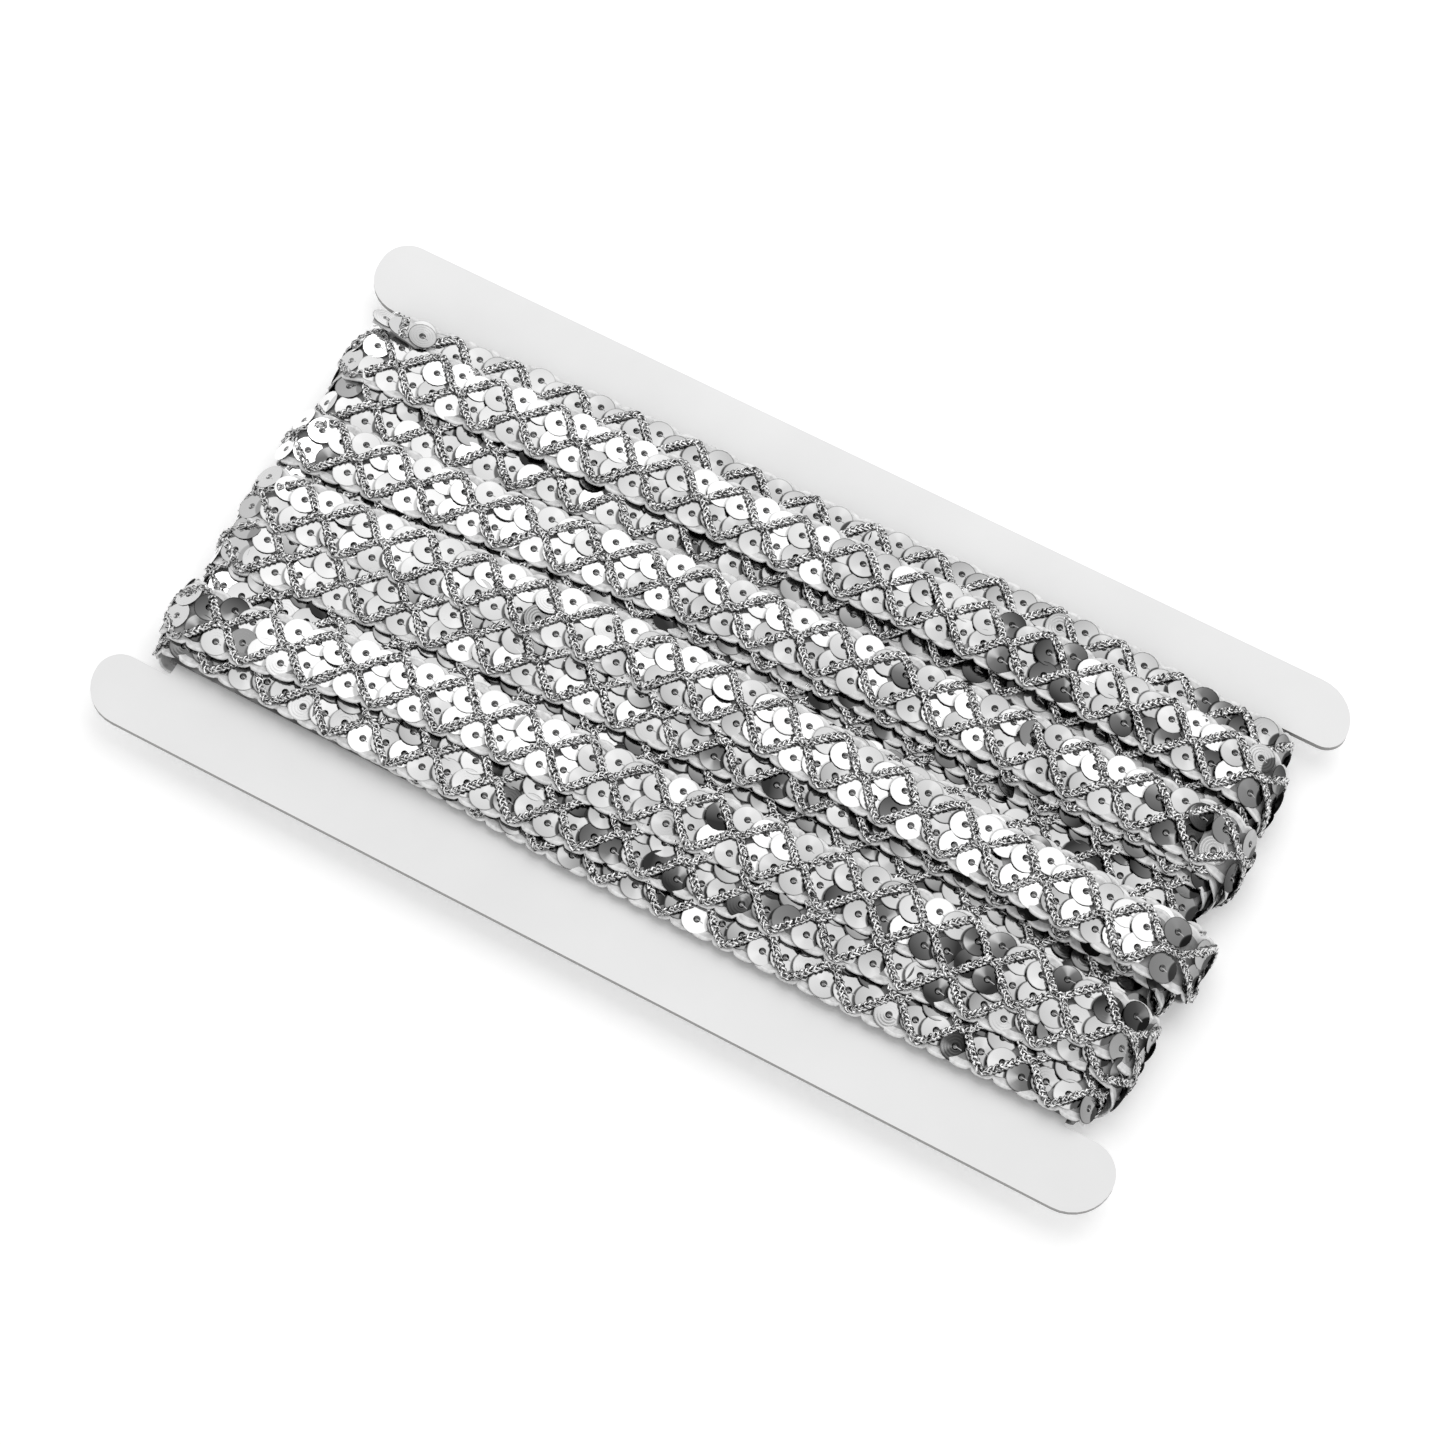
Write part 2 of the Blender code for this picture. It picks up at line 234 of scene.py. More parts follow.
def silvered_sequin_film():
    """Punched polyester film, silvered by vacuum: a mirror that is duller on its back.

    Each sequin has a painted tone of its own, for the light that it has turned to, and its dish,
    wall and back are painted darker, for the shade there. Across the darker ones a painted
    gradient and a narrow wedge of painted highlight stand for the light that the punch's rings
    throw, and a thin grey line of painted shade runs round the rim. The next sequin of the row,
    which lies on it, casts a painted dark crescent of shadow. Both are fainter on a sequin that
    flashes white.
    """
    material, tree, shader = new_material("silvered_sequin_film")
    tone = add_node(tree, "ShaderNodeAttribute", {"attribute_name": "tone"})
    place = add_node(tree, "ShaderNodeUVMap", {"uv_map": "disc"})
    parts = add_node(tree, "ShaderNodeSeparateXYZ", None, {"Vector": place.outputs["UV"]})
    left = add_node(
        tree, "ShaderNodeMath", {"operation": "SUBTRACT", "use_clamp": True}, {0: 1.0, 1: tone.outputs["Fac"]}
    )
    darkness = add_node(
        tree, "ShaderNodeMath", {"operation": "POWER"}, {0: left.outputs["Value"], 1: 2.0}
    )
    # Painted light: a gradient across each darker sequin, lighter on one side and darker on the other
    painted_gradient = add_node(
        tree,
        "ShaderNodeMath",
        {"operation": "MULTIPLY"},
        {0: parts.outputs["X"], 1: darkness.outputs["Value"]},
    )
    # Painted highlight: a narrow wedge of light across the darker sequins
    angle = add_node(
        tree, "ShaderNodeTexGradient", {"gradient_type": "RADIAL"}, {"Vector": place.outputs["UV"]}
    )
    wedge = ramp(
        tree, angle.outputs["Fac"], ((0.4, "#000000"), (0.49, "#B0B0B0"), (0.53, "#B0B0B0"), (0.6, "#000000"))
    )
    flash = add_node(
        tree, "ShaderNodeMath", {"operation": "MULTIPLY"}, {0: wedge, 1: darkness.outputs["Value"]}
    )
    lit = add_node(
        tree, "ShaderNodeMath", {"operation": "ADD"}, {0: painted_gradient.outputs["Value"], 1: flash.outputs["Value"]}
    )
    shade = add_node(
        tree,
        "ShaderNodeMath",
        {"operation": "MULTIPLY_ADD"},
        {0: lit.outputs["Value"], 1: 0.6, 2: tone.outputs["Fac"]},
    )
    # Painted shade: a thin grey line round the rim
    radius = add_node(tree, "ShaderNodeVectorMath", {"operation": "LENGTH"}, {0: place.outputs["UV"]})
    rim = ramp(tree, radius.outputs["Value"], ((0.46, "#000000"), (0.485, "#848484")))
    # Painted shadow: a dark crescent where the next sequin lies on this one
    lie = add_node(tree, "ShaderNodeUVMap", {"uv_map": "lie"})
    gap = add_node(tree, "ShaderNodeVectorMath", {"operation": "LENGTH"}, {0: lie.outputs["UV"]})
    contact_shadow = ramp(tree, gap.outputs["Value"], ((0.5, "#BCBCBC"), (0.525, "#9A9A9A"), (0.56, "#000000")))
    # The painted rim shade and contact shadow, weighed so that they are fainter on lighter sequins
    painted_shade_lines = add_node(tree, "ShaderNodeMath", {"operation": "MAXIMUM"}, {0: rim, 1: contact_shadow})
    weight = add_node(
        tree, "ShaderNodeMath", {"operation": "MULTIPLY", "use_clamp": True}, {0: left.outputs["Value"], 1: 2.2}
    )
    weighed = add_node(
        tree,
        "ShaderNodeMath",
        {"operation": "MULTIPLY"},
        {0: painted_shade_lines.outputs["Value"], 1: weight.outputs["Value"]},
    )
    toned = add_node(
        tree,
        "ShaderNodeMath",
        {"operation": "SUBTRACT"},
        {0: shade.outputs["Value"], 1: weighed.outputs["Value"]},
    )
    colour = ramp(
        tree,
        toned.outputs["Value"],
        ((0.0, "#242424"), (0.3, "#555555"), (0.5, "#909090"), (0.75, "#B9B9B9"), (0.95, "#FCFCFC")),
    )
    tree.links.new(colour, shader.inputs["Base Color"])
    shader.inputs["Metallic"].default_value = 1.0
    rings = add_node(
        tree,
        "ShaderNodeTexWave",
        {"wave_type": "RINGS", "rings_direction": "SPHERICAL"},
        {"Vector": place.outputs["UV"], "Scale": 3.2, "Distortion": 0.6, "Detail": 1.0},
    )
    bump = add_node(
        tree, "ShaderNodeBump", None, {"Strength": 0.1, "Distance": 0.00004, "Height": rings.outputs["Fac"]}
    )
    tree.links.new(bump.outputs["Normal"], shader.inputs["Normal"])
    shader.inputs["Roughness"].default_value = 0.14
    return material


def metal_yarn():
    """Yarn of slit metal foil, chained with grey thread: random flecks painted from white to near black, as painted
    glints of foil and painted shade in the gaps.
    """
    material, tree, shader = new_material("slit_foil_yarn")
    place = add_node(tree, "ShaderNodeUVMap", {"uv_map": "strand"})
    stretched = add_node(
        tree, "ShaderNodeMapping", None, {"Vector": place.outputs["UV"], "Scale": (1.3, 2.9, 1.0)}
    )
    flecks = add_node(
        tree,
        "ShaderNodeTexNoise",
        {"noise_dimensions": "2D"},
        {"Vector": stretched.outputs["Vector"], "Scale": 1.0, "Detail": 1.0, "Roughness": 0.6},
    )
    colour = ramp(
        tree,
        flecks.outputs["Fac"],
        ((0.41, "#181818"), (0.46, "#888888"), (0.52, "#D0D0D0"), (0.57, "#FFFFFF")),
    )
    tree.links.new(colour, shader.inputs["Base Color"])
    shader.inputs["Metallic"].default_value = 0.8
    shader.inputs["Roughness"].default_value = 0.32
    bump = add_node(
        tree, "ShaderNodeBump", None, {"Strength": 0.6, "Distance": 0.0002, "Height": flecks.outputs["Fac"]}
    )
    tree.links.new(bump.outputs["Normal"], shader.inputs["Normal"])
    return material


def ground_tape():
    """Fine nylon ground, pressed flat: a pale grey, slightly shiny edge with small puckers."""
    material, tree, shader = new_material("pressed_nylon_ground")
    place = add_node(tree, "ShaderNodeTexCoord")
    pucker = add_node(
        tree,
        "ShaderNodeTexNoise",
        None,
        {"Vector": place.outputs["Object"], "Scale": 700.0, "Detail": 2.0, "Roughness": 0.55},
    )
    colour = ramp(tree, pucker.outputs["Fac"], ((0.3, "#CECECE"), (0.5, "#EAEAEA"), (0.72, "#F8F8F8")))
    # Painted shade: the colour is multiplied by each face's painted light, darker where the tape lies under the
    # sequins and beneath
    tone = add_node(tree, "ShaderNodeAttribute", {"attribute_name": "tone"})
    tape_shade = add_node(
        tree,
        "ShaderNodeMix",
        {"data_type": "RGBA", "blend_type": "MULTIPLY"},
        {"Factor": 1.0, "A": colour, "B": tone.outputs["Color"]},
    )
    tree.links.new(tape_shade.outputs["Result"], shader.inputs["Base Color"])
    shader.inputs["Roughness"].default_value = 0.42
    shader.inputs["Sheen Weight"].default_value = 0.15
    bump = add_node(
        tree, "ShaderNodeBump", None, {"Strength": 0.5, "Distance": 0.0002, "Height": pucker.outputs["Fac"]}
    )
    tree.links.new(bump.outputs["Normal"], shader.inputs["Normal"])
    return material


def inner_braid():
    """The turns further in, seen only at the bottom of the furrows: braid painted dark, as painted shade."""
    material, tree, shader = new_material("shaded_inner_braid")
    place = add_node(tree, "ShaderNodeTexCoord")
    cells = add_node(
        tree, "ShaderNodeTexVoronoi", None, {"Vector": place.outputs["Object"], "Scale": 350.0}
    )
    colour = ramp(tree, cells.outputs["Distance"], ((0.0, "#A0A0A0"), (0.5, "#6A6A6A"), (1.0, "#404040")))
    tree.links.new(colour, shader.inputs["Base Color"])
    shader.inputs["Metallic"].default_value = 0.4
    shader.inputs["Roughness"].default_value = 0.5
    return material


def sewing_thread():
    """Spun polyester thread: matt, and a little darker than the ground."""
    material, tree, shader = new_material("spun_polyester_thread")
    place = add_node(tree, "ShaderNodeTexCoord")
    fibres = add_node(
        tree, "ShaderNodeTexNoise", None, {"Vector": place.outputs["Object"], "Scale": 2500.0, "Detail": 1.0}
    )
    colour = ramp(tree, fibres.outputs["Fac"], ((0.3, "#C4C4C4"), (0.7, "#F0F0F0")))
    tree.links.new(colour, shader.inputs["Base Color"])
    shader.inputs["Roughness"].default_value = 0.7
    return material


def white_board():
    """Coated white card: a smooth calendered face, and a greyer cut edge where its plies show, painted darker still
    as painted shadow along it.
    """
    material, tree, shader = new_material("coated_white_board")
    place = add_node(tree, "ShaderNodeTexCoord")
    shape = add_node(tree, "ShaderNodeNewGeometry")
    facing = add_node(tree, "ShaderNodeSeparateXYZ", None, {"Vector": shape.outputs["Normal"]})
    level = add_node(tree, "ShaderNodeMath", {"operation": "ABSOLUTE"}, {0: facing.outputs["Z"]})
    clouds = add_node(
        tree,
        "ShaderNodeTexNoise",
        None,
        {"Vector": place.outputs["Object"], "Scale": 40.0, "Detail": 3.0, "Roughness": 0.5},
    )
    face = ramp(tree, clouds.outputs["Fac"], ((0.3, "#EAEAEA"), (0.7, "#EFEFEF")))
    heights = add_node(tree, "ShaderNodeSeparateXYZ", None, {"Vector": place.outputs["Object"]})
    # Five plies in the board's thickness
    plies = add_node(
        tree,
        "ShaderNodeMath",
        {"operation": "SINE"},
        {0: add_node(
            tree, "ShaderNodeMath", {"operation": "MULTIPLY"}, {0: heights.outputs["Z"], 1: 24000.0}
        ).outputs["Value"]},
    )
    # The cut edge: grey plies, painted darker as painted shadow along the card's edge
    edge = ramp(tree, plies.outputs["Value"], ((0.0, "#8A8988"), (1.0, "#A5A4A3")))
    blend = add_node(
        tree,
        "ShaderNodeMix",
        {"data_type": "RGBA"},
        {"Factor": level.outputs["Value"], "A": edge, "B": face},
    )
    tree.links.new(blend.outputs["Result"], shader.inputs["Base Color"])
    shader.inputs["Roughness"].default_value = 0.5
    fibre = add_node(
        tree,
        "ShaderNodeTexNoise",
        None,
        {"Vector": place.outputs["Object"], "Scale": 900.0, "Detail": 3.0, "Roughness": 0.6},
    )
    bump = add_node(
        tree, "ShaderNodeBump", None, {"Strength": 0.12, "Distance": 0.0001, "Height": fibre.outputs["Fac"]}
    )
    tree.links.new(bump.outputs["Normal"], shader.inputs["Normal"])
    return material


def pale_floor():
    """White paper sweep, lit from below as well, so that only a faint shadow is left on it."""
    material, tree, shader = new_material("lit_paper_sweep")
    shader.inputs["Base Color"].default_value = (0.96, 0.96, 0.96, 1.0)
    shader.inputs["Roughness"].default_value = 0.9
    shader.inputs["Emission Color"].default_value = (1.0, 1.0, 1.0, 1.0)
    shader.inputs["Emission Strength"].default_value = 0.2
    return material


# The route of a run


def smooth_between(values, place):
    """A smooth curve through the five values at PLACES, at an array of places."""
    values = np.asarray(values, float)
    spot = (np.asarray(place, float) - PLACES[0]) / (PLACES[1] - PLACES[0])
    index = np.clip(spot.astype(int), 0, len(PLACES) - 2)
    part = spot - index
    before = values[np.maximum(index - 1, 0)]
    low = values[index]
    high = values[index + 1]
    after = values[np.minimum(index + 2, len(PLACES) - 1)]
    square, cube = part**2, part**3
    return (
        (2 * cube - 3 * square + 1) * low
        + (cube - 2 * square + part) * (high - before) / 2
        + (3 * square - 2 * cube) * high
        + (cube - square) * (after - low) / 2
    )


def ease(part):
    return part * part * (3 - 2 * part)


def turn_length(run, end):
    """How long a run's turn is over the left end (0) or the right end (-1)."""
    return math.pi * ((run["height"][end] + run["under_height"]) / 2 - BRAID_DEPTH + HALF_CARD)


def loop_length(run):
    return 2 * WAIST_LENGTH + turn_length(run, 0) + turn_length(run, -1)


def diamond_count(run):
    return round(loop_length(run) / DIAMOND_LENGTH)


def pitch_of(run):
    """The distance from sequin to sequin, so that a whole number of diamonds fills the loop."""
    return loop_length(run) / diamond_count(run) / SEQUINS_IN_DIAMOND


def route(run, along):
    """Where distances along a run lie: stage 0 to 4 round the loop, place along the card, how far
    it has gone under, the x it turns about, and the angle that it faces."""
    right, left = turn_length(run, -1), turn_length(run, 0)
    ends = np.cumsum([0.0, WAIST_LENGTH, right, WAIST_LENGTH, left])
    along = np.mod(along, ends[-1])
    leg = np.clip(np.searchsorted(ends, along, side="right") - 1, 0, 3)
    part = (along - ends[leg]) / np.diff(ends)[leg]
    return locate(leg + part)


def locate(stage):
    """The same from the stage alone: 0 to 1 on top, 2 to 3 underneath, and the two turns between."""
    leg = np.clip(stage.astype(int), 0, 3)
    part = stage - leg
    place = np.choose(leg, [2 * part - 1, np.ones_like(part), 1 - 2 * part, -np.ones_like(part)])
    settle = ease(np.clip(5 * np.minimum(part, 1 - part), 0, 1))
    under = np.choose(leg, [0 * part, ease(part) / 2, 0.5 + settle / 2, 0.5 - ease(part) / 2])
    angle = np.choose(
        leg,
        [
            np.full_like(part, math.pi / 2),
            math.pi / 2 - math.pi * part,
            np.full_like(part, -math.pi / 2),
            -math.pi / 2 - math.pi * part,
        ],
    )
    return {"stage": stage, "place": place, "under": under, "angle": angle}


def middle_and_height(run, spot):
    """A run's middle line and the height of its outer side over the card, with a slight wander."""
    top = smooth_between(run["middle"], spot["place"])
    height = smooth_between(run["height"], spot["place"])
    wander = 0.22 * np.sin(5.3 * spot["place"] + run["phase"]) * (1 - spot["place"] ** 2)
    middle = (top + wander) * (1 - spot["under"]) + run["under_middle"] * spot["under"]
    return middle, height * (1 - spot["under"]) + run["under_height"] * spot["under"]


def place_points(run, along, across, lift):
    """Points in millimetres at a distance along a run, across it and over its tape."""
    spot = route(run, along)
    middle, height = middle_and_height(run, spot)
    reach = height - BRAID_DEPTH + HALF_CARD + lift
    slack = np.where(spot["place"] > 0, run["slack"][1], run["slack"][0])
    x = spot["place"] * WAIST_HALF + (reach + slack) * np.cos(spot["angle"])
    z = CARD_MIDDLE + reach * np.sin(spot["angle"])
    return np.stack([x, middle + across, np.maximum(z, SURFACE_CLEARANCE)], axis=-1)


def run_axes(run, along):
    """Unit vectors along a run, across it to the far side, and outwards."""
    angle = route(run, along)["angle"]
    zero = np.zeros_like(angle)
    outward = np.stack([np.cos(angle), zero, np.sin(angle)], axis=-1)
    forward = np.stack([np.sin(angle), zero, -np.cos(angle)], axis=-1)
    return forward, np.cross(outward, forward), outward


def covered(run, along, across, margin):
    """Whether a point on a run lies under a higher run."""
    spot = route(run, along)
    middle, height = middle_and_height(run, spot)
    hidden = np.zeros(len(spot["stage"]), bool)
    for other in RUNS:
        if other is run:
            continue
        other_middle, other_height = middle_and_height(other, spot)
        over = other_height > height + 0.7
        hidden |= over & (np.abs(middle + across - other_middle) < TAPE_HALF - margin)
    return hidden


def stretches(shown):
    """The runs of true values in an array, as (first, past the last)."""
    edges = np.flatnonzero(np.diff(np.concatenate([[0], shown.astype(int), [0]])))
    return list(zip(edges[::2], edges[1::2]))


# Meshes


def deselect_all():
    bpy.ops.object.select_all(action="DESELECT")


def mesh_from_quads(name, points_mm, quads, material):
    """An object from arrays of points in millimetres and of four-cornered faces."""
    mesh = bpy.data.meshes.new(name)
    mesh.vertices.add(len(points_mm))
    mesh.vertices.foreach_set("co", (points_mm * MM).astype(np.float32).ravel())
    mesh.loops.add(quads.size)
    mesh.loops.foreach_set("vertex_index", quads.astype(np.int32).ravel())
    mesh.polygons.add(len(quads))
    mesh.polygons.foreach_set("loop_start", np.arange(0, quads.size, 4, dtype=np.int32))
    mesh.update(calc_edges=True)
    mesh.validate()
    mesh.materials.append(material)
    obj = bpy.data.objects.new(name, mesh)
    bpy.context.scene.collection.objects.link(obj)
    return obj


def set_tones(mesh, tones):
    """The painted light and shade on each face, for the materials to read."""
    mesh.attributes.new("tone", "FLOAT", "FACE").data.foreach_set("value", tones.astype(np.float32).ravel())


def finish_piece(obj):
    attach(obj, "root")
    return obj


def model_sequin():
    """One sequin: a thin disc with a dished hole, spun from the outline of its wall.

    Gives its points, its faces, and the part that each face is of.
    """
    deselect_all()
    bpy.ops.mesh.primitive_plane_add(size=1.0)
    sequin = bpy.context.active_object
    sequin.name = "sequin_pattern"
    outline = ((SEQUIN_RADIUS, 0.0), (HOLE_RIM, 0.0), (HOLE_RADIUS, -HOLE_DEPTH), (SEQUIN_RADIUS, -SEQUIN_THICKNESS))
    order = [sequin.data.loops[i].vertex_index for i in sequin.data.polygons[0].loop_indices]
    for index, (radius, height) in zip(order, outline):
        sequin.data.vertices[index].co = (radius * MM, 0.0, height * MM)
    bpy.ops.object.mode_set(mode="EDIT")
    bpy.ops.mesh.select_all(action="SELECT")
    bpy.ops.mesh.delete(type="ONLY_FACE")
    bpy.ops.mesh.select_all(action="SELECT")
    bpy.ops.mesh.spin(steps=SEQUIN_SIDES, angle=2 * math.pi, center=(0, 0, 0), axis=(0, 0, 1))
    bpy.ops.mesh.select_all(action="SELECT")
    bpy.ops.mesh.remove_doubles(threshold=0.01 * MM)
    bpy.ops.mesh.normals_make_consistent(inside=False)
    bpy.ops.object.mode_set(mode="OBJECT")
    mesh = sequin.data
    points = np.array([v.co[:] for v in mesh.vertices]) / MM
    quads = np.array([list(p.vertices) for p in mesh.polygons])
    bpy.data.objects.remove(sequin, do_unlink=True)
    radii = np.hypot(points[:, 0], points[:, 1])[quads]
    heights = points[:, 2][quads]
    halfway = (HOLE_RIM + SEQUIN_RADIUS) / 2
    parts = np.full(len(quads), "back")
    parts[heights.min(axis=1) > -SEQUIN_THICKNESS / 2] = "face"
    parts[radii.max(axis=1) < halfway] = "dish"
    parts[radii.min(axis=1) > halfway] = "rim"
    return points, quads, parts


def sequin_places(run):
    """Where a run's sequins are sewn, leaving out hidden ones.

    Gives distance along, across, and lift, and how far ahead and aside the next of its row lies.
    """
    count = diamond_count(run) * SEQUINS_IN_DIAMOND
    rows = []
    for row in ROWS:
        number = np.arange(count)
        shift = row["shift"] + random.normal(0, ROW_DRIFT)
        along = (number + shift) * pitch_of(run) + run["phase"] + random.normal(0, 0.14, count)
        offset = np.tile(row["offsets"], diamond_count(run))
        across = row["side"] * offset + random.normal(0, 0.15, count)
        ahead = np.append(along[1:], along[0] + loop_length(run)) - along
        aside = np.roll(across, -1) - across
        hidden = np.ones(count, bool)
        for edge in (-0.85, 0.0, 0.85):
            hidden &= covered(run, along, across + edge * SEQUIN_RADIUS, 0.2)
        lift = np.full(count, row["lift"]) + random.normal(0, 0.04, count)
        rows.append(np.stack([along, across, lift, ahead, aside], axis=-1)[~hidden])
    return np.concatenate(rows)


def sequin_tones(run, along, across):
    """Each sequin's painted tone, for the light that it catches: white, light grey or dark. The near row leans away
    from the light.
    """
    count = len(along)
    spot = route(run, along)
    x = spot["place"] * WAIST_HALF
    white = np.full(count, USUAL_WHITE_SHARE)
    dark = np.full(count, USUAL_DARK_SHARE)
    for stretch in SHINE:
        if stretch["run"] == run["name"]:
            inside = (spot["stage"] < 1) & (x >= stretch["from"]) & (x <= stretch["to"])
            white[inside] = stretch["white"]
            dark[inside] = stretch["dark"]
    dark[(spot["stage"] > 1) & (spot["stage"] < 2)] = TURN_DARK_SHARE
    dark[spot["stage"] > 3.2] = LEFT_TURN_DARK_SHARE
    near = across < 0
    white = np.where(near & (white < 0.7), white * NEAR_WHITE_SHARE, white)
    near_greys = random.uniform(*GREY_TONES["near"], count)
    far_greys = random.uniform(*GREY_TONES["far"], count)
    tones = np.where(near, near_greys, far_greys)
    if run["name"] == "first":
        tones = random.uniform(*FIRST_RUN_TONES, count)
    tones = tones * (1 + LEFT_LIGHTER * np.clip(-spot["place"], 0, 1))
    draw = random.random(count)
    tones = np.where(draw < white, random.uniform(*WHITE_TONES, count), tones)
    tones = np.where(draw > 1 - dark, random.uniform(*DARK_TONES, count), tones)
    tones = np.where(spot["stage"] > 3.2, tones * LEFT_TURN_GAIN, tones)
    return tones * overshadowed(run, spot, across)


def overshadowed(run, spot, across):
    """How much light is left on a run beside a higher one on its far side: 1 in the open."""
    middle, height = middle_and_height(run, spot)
    light = np.ones(len(across))
    for other in RUNS:
        other_middle, other_height = middle_and_height(other, spot)
        gap = other_middle - TAPE_HALF - (middle + across)
        beside = (other_height > height + 0.9) & (gap > -SHADE_REACH) & (gap < SHADE_REACH)
        left = SHADE_DEPTH + (1 - SHADE_DEPTH) * np.clip(gap / SHADE_REACH, 0, 1)
        light = np.where(beside, np.minimum(light, left), light)
    return light


def tilted_axes(run, along, pitch, roll):
    """The axes along, across and out of pieces on a run, pitched and rolled by angles."""
    forward, sideways, outward = run_axes(run, along)
    pitch, roll = pitch[:, None], roll[:, None]
    tilted_out = outward * np.cos(pitch) + forward * np.sin(pitch)
    axis_x = forward * np.cos(pitch) - outward * np.sin(pitch)
    axis_z = tilted_out * np.cos(roll) + sideways * np.sin(roll)
    axis_y = sideways * np.cos(roll) - tilted_out * np.sin(roll)
    return axis_x, axis_y, axis_z


def sewn_sequins(runs):
    """Every sequin of some runs: centre, axes along, across and out, tone, and the way to the next."""
    centres, axes, tones, ways = [], [], [], []
    for run in runs:
        places = sequin_places(run)
        count = len(places)
        along, across, lift, ahead, aside = places.T
        tones.append(sequin_tones(run, along, across))
        spread = np.where(random.random(count) < 0.07, 4.0, 1.0)
        pitch = np.radians(SHINGLE_DEG + random.normal(0, 1.6, count) * spread)
        roll = np.radians(CROWN_DEG * np.sign(across) + random.normal(0, 1.6, count) * spread)
        axes.append(np.stack(tilted_axes(run, along, pitch, roll), axis=1))
        centres.append(place_points(run, along, across, lift))
        ways.append(np.stack([ahead, aside], axis=-1))
    return np.concatenate(centres), np.concatenate(axes), np.concatenate(tones), np.concatenate(ways)


def copies_of(pattern, centres, axes):
    """A pattern's points, or a set of points for each copy, at every centre on its own axes."""
    points = centres[:, None, :].repeat(pattern.shape[-2], axis=1)
    for axis in range(3):
        points = points + pattern[..., axis, None] * axes[:, None, axis, :]
    points[..., 2] = np.maximum(points[..., 2], SURFACE_CLEARANCE)
    return points


def build_sequins(name, sewn, material):
    """All the sequins of some runs as one joined mesh, each tilted on its left neighbour."""
    centres, axes, tones, ways = sewn
    count = len(centres)
    pattern, quads, parts = model_sequin()
    spin = random.uniform(0, 2 * math.pi, count)[:, None]
    x = pattern[:, 0] * np.cos(spin) - pattern[:, 1] * np.sin(spin)
    y = pattern[:, 0] * np.sin(spin) + pattern[:, 1] * np.cos(spin)
    bend_way = random.uniform(0, math.pi, count)[:, None]
    bend = random.normal(0, 0.006, count)[:, None]
    z = pattern[:, 2] + bend * (x * np.cos(bend_way) + y * np.sin(bend_way)) ** 2
    points = copies_of(np.stack([x, y, z], axis=-1), centres, axes)
    offsets = np.arange(count)[:, None, None] * len(pattern)
    obj = mesh_from_quads(name, points.reshape(-1, 3), (quads + offsets).reshape(-1, 4), material)
    mesh = obj.data
    part_tones = np.array([PART_TONES[part] for part in parts])
    set_tones(mesh, tones[:, None] * part_tones)
    disc = np.tile(pattern[:, :2], (count, 1))
    lie = (np.stack([x, y], axis=-1) - ways[:, None, :] - NEXT_SHADE).reshape(-1, 2)
    corners = np.zeros(len(mesh.loops), np.int32)
    mesh.loops.foreach_get("vertex_index", corners)
    for layer, place in (("disc", disc), ("lie", lie)):
        place = (place / (2 * SEQUIN_RADIUS))[corners].astype(np.float32)
        mesh.uv_layers.new(name=layer).data.foreach_set("uv", place.ravel())
    mesh.shade_smooth()
    mesh.set_sharp_from_angle(angle=math.radians(12))
    return finish_piece(obj)


# A stitch from a sequin's hole towards the next: (share of its length, rise over the sequin)
STITCH_LINE = ((0.0, -0.15), (0.15, 0.06), (0.55, 0.05), (1.0, 0.0))
STITCH_SIDES = 4


def build_stitches(name, sewn, material):
    """The sewing thread that comes up through each hole and goes down under the next sequin."""
    centres, axes, tones, ways = sewn
    count = len(centres)
    lean = random.normal(-0.12, 0.12, count)[:, None]
    reach = (STITCH_LENGTH + random.normal(0, 0.2, count))[:, None]
    rings = []
    for share, rise in STITCH_LINE:
        for side in range(STITCH_SIDES):
            angle = 2 * math.pi * side / STITCH_SIDES
            x = share * reach
            y = lean * share * reach + STITCH_RADIUS * math.cos(angle)
            z = np.full_like(x, rise + STITCH_RADIUS * math.sin(angle))
            rings.append(np.stack([x, y, z], axis=-1))
    pattern = np.concatenate(rings, axis=1)
    points = copies_of(pattern, centres, axes)
    sides = tube_quads(len(STITCH_LINE), STITCH_SIDES, 0, False)
    last = (len(STITCH_LINE) - 1) * STITCH_SIDES
    caps = np.array([[3, 2, 1, 0], [last, last + 1, last + 2, last + 3]])
    quads = np.concatenate([sides[:, ::-1], caps[:, ::-1]])
    offsets = np.arange(count)[:, None, None] * pattern.shape[1]
    obj = mesh_from_quads(name, points.reshape(-1, 3), (quads + offsets).reshape(-1, 4), material)
    obj.data.shade_smooth()
    return finish_piece(obj)


# The tape's section from the near edge over the top to the far edge and back underneath: how far
# in from its scalloped edge, height, and the light on the face that follows. Each edge has a bead.
TAPE_SECTION = (
    {"edge": "near", "inset": 0.0, "height": -0.1, "light": 1.0},
    {"edge": "near", "inset": 0.2, "height": 0.18, "light": 1.0},
    {"edge": "near", "inset": 0.7, "height": 0.16, "light": 0.85},
    {"edge": "near", "inset": 1.8, "height": 0.08, "light": 0.35},
    {"edge": "far", "inset": 1.8, "height": 0.08, "light": 0.9},
    {"edge": "far", "inset": 0.7, "height": 0.16, "light": 1.0},
    {"edge": "far", "inset": 0.2, "height": 0.18, "light": 1.0},
    {"edge": "far", "inset": 0.0, "height": -0.1, "light": 0.5},
    {"edge": "far", "inset": 0.5, "height": -0.3, "light": 0.6},
    {"edge": "near", "inset": 0.5, "height": -0.3, "light": 1.0},
)


def petals(cycle):
    """Rounded scallops with sharp notches between them, one for each unit of the cycle."""
    return np.sqrt(np.maximum(1 - (2 * np.mod(cycle, 1.0) - 1) ** 2, 0.0))


